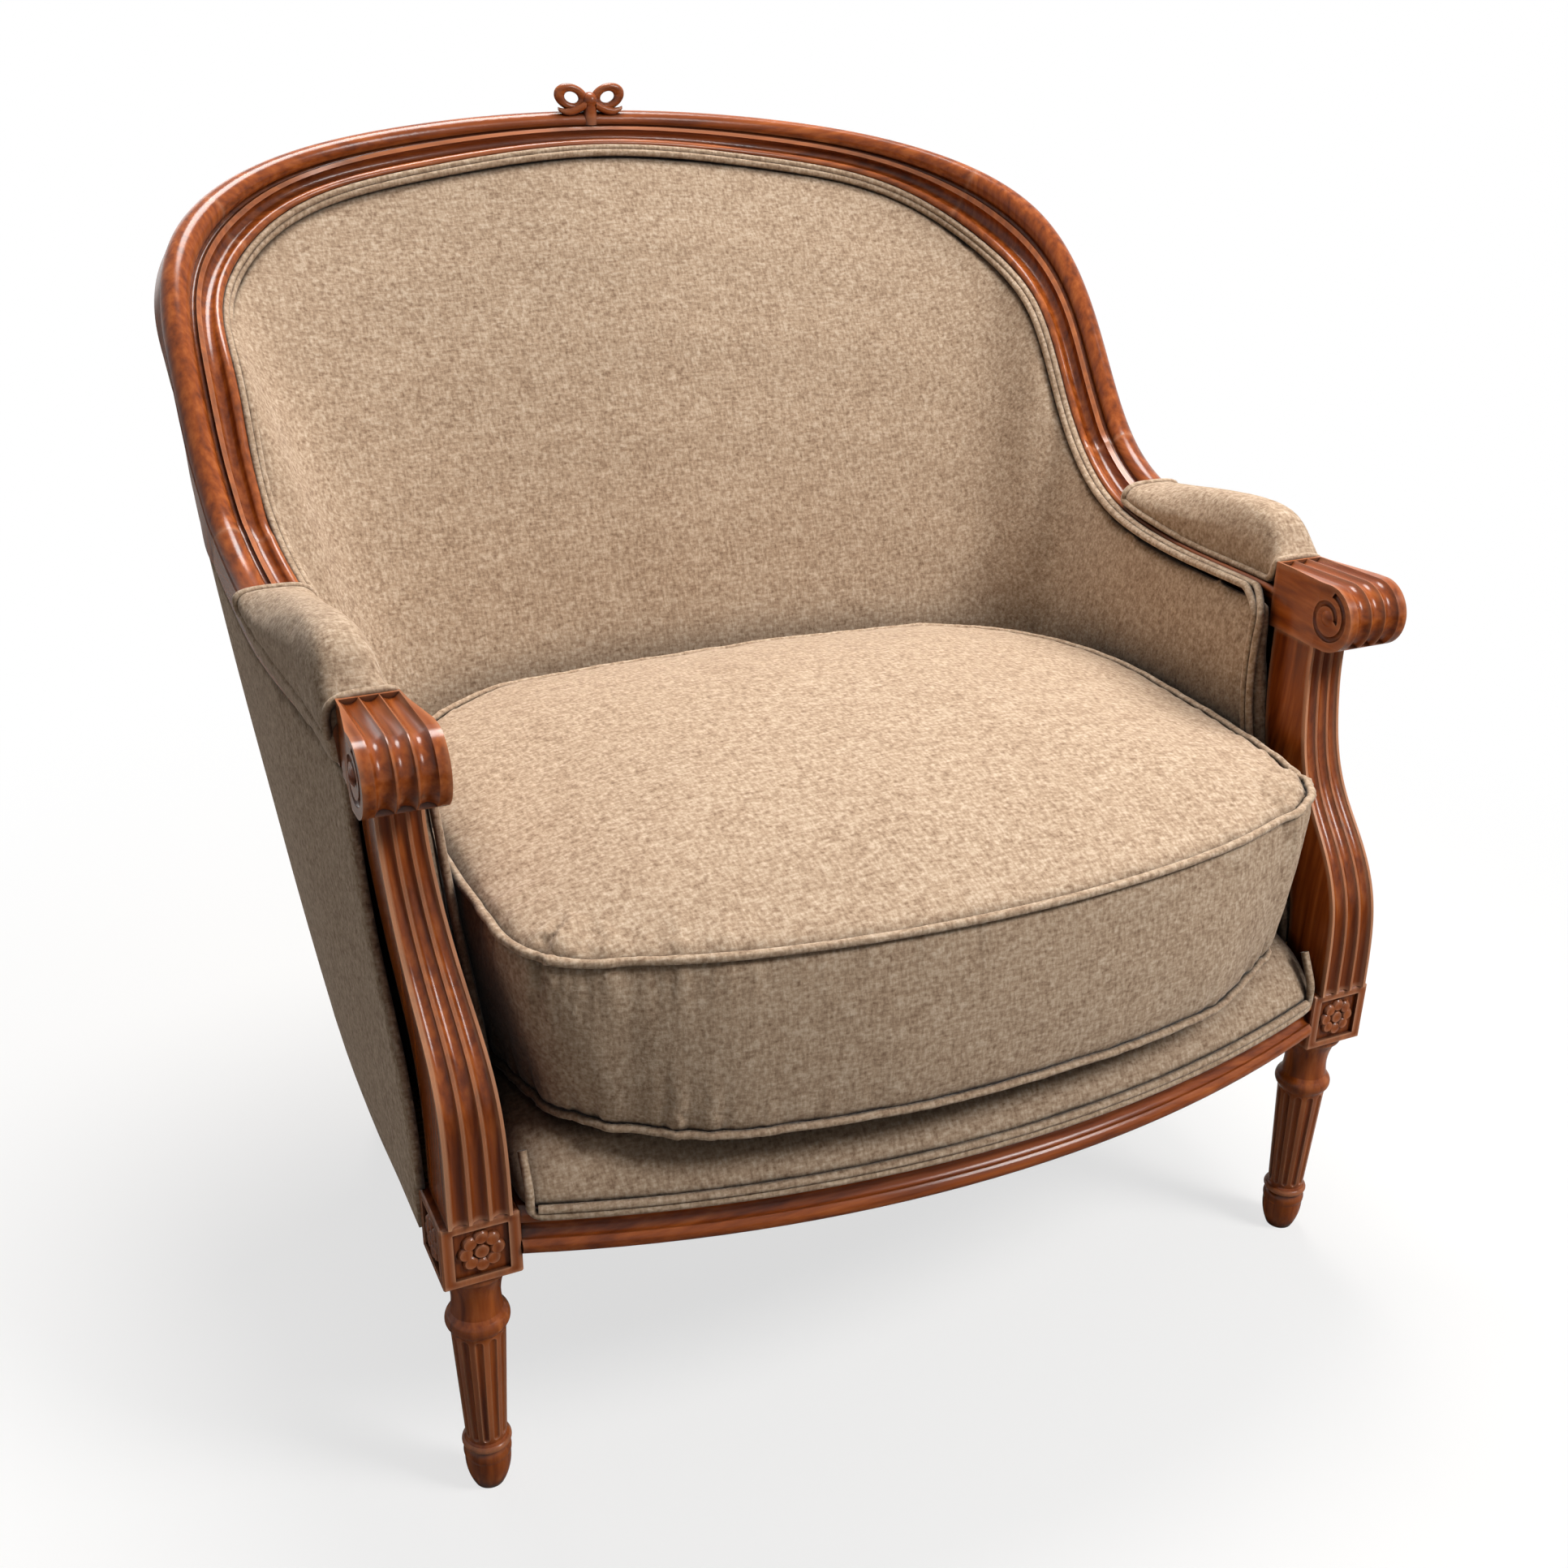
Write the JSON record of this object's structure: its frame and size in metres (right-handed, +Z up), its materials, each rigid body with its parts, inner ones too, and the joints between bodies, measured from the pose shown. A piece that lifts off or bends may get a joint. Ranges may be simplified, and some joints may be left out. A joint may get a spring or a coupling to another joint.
{
  "type": "bergere armchair",
  "caption": "Upholstered armchair with a moulded wood frame sweeping from the crest into scrolled arms, fluted legs, closed padded sides and a loose seat cushion that lifts off.",
  "frame": {"origin": "on the floor, under the centre of the chair's overall box", "axes": "+Z up, -Y towards the sitter's front, +X to the right as seen from the front"},
  "size_m": [0.9022, 0.895, 0.9489],
  "materials": {
    "frame_wood": "gloss",
    "hidden_wood": "matte",
    "webbing": "matte",
    "hessian": "matte",
    "dust_cloth": "matte",
    "upholstery": "matte",
    "welt": "matte",
    "filling": "matte"
  },
  "bodies": {
    "chair_frame": {"crest_rail": "frame_wood", "crest_ribbon": "frame_wood", "back_stile_right": "frame_wood", "back_stile_left": "frame_wood", "arm_rail_right": "frame_wood", "arm_rail_left": "frame_wood", "arm_support_right": "frame_wood", "arm_support_left": "frame_wood", "front_leg_right": "frame_wood", "front_leg_left": "frame_wood", "rear_leg_right": "frame_wood", "rear_leg_left": "frame_wood", "front_rail": "frame_wood", "side_rail_right": "frame_wood", "side_rail_left": "frame_wood", "rear_rail": "frame_wood", "corner_block_right": "hidden_wood", "corner_block_left": "hidden_wood", "frame_dowels": "hidden_wood", "back_slat": "hidden_wood", "back_webbing": "webbing", "seat_webbing": "webbing", "seat_hessian": "hessian", "dust_cover": "dust_cloth", "seat_platform": "upholstery", "inside_back": "upholstery", "inside_arm_right": "upholstery", "inside_arm_left": "upholstery", "outside_back": "upholstery", "outside_arm_right": "upholstery", "outside_arm_left": "upholstery", "arm_pad_right": "upholstery", "arm_pad_left": "upholstery", "platform_welt": "welt", "inside_welt": "welt", "arm_pad_welt_right": "welt", "arm_pad_welt_left": "welt"},
    "seat_cushion": {"cushion_core": "filling", "cushion_cover": "upholstery", "cushion_welts": "welt"}
  },
  "joints": [
    {"name": "cushion_lift", "type": "slide", "parent": "chair_frame", "child": "seat_cushion", "axis": [0, 0, 1], "range_m": [0, 0.64]}
  ]
}
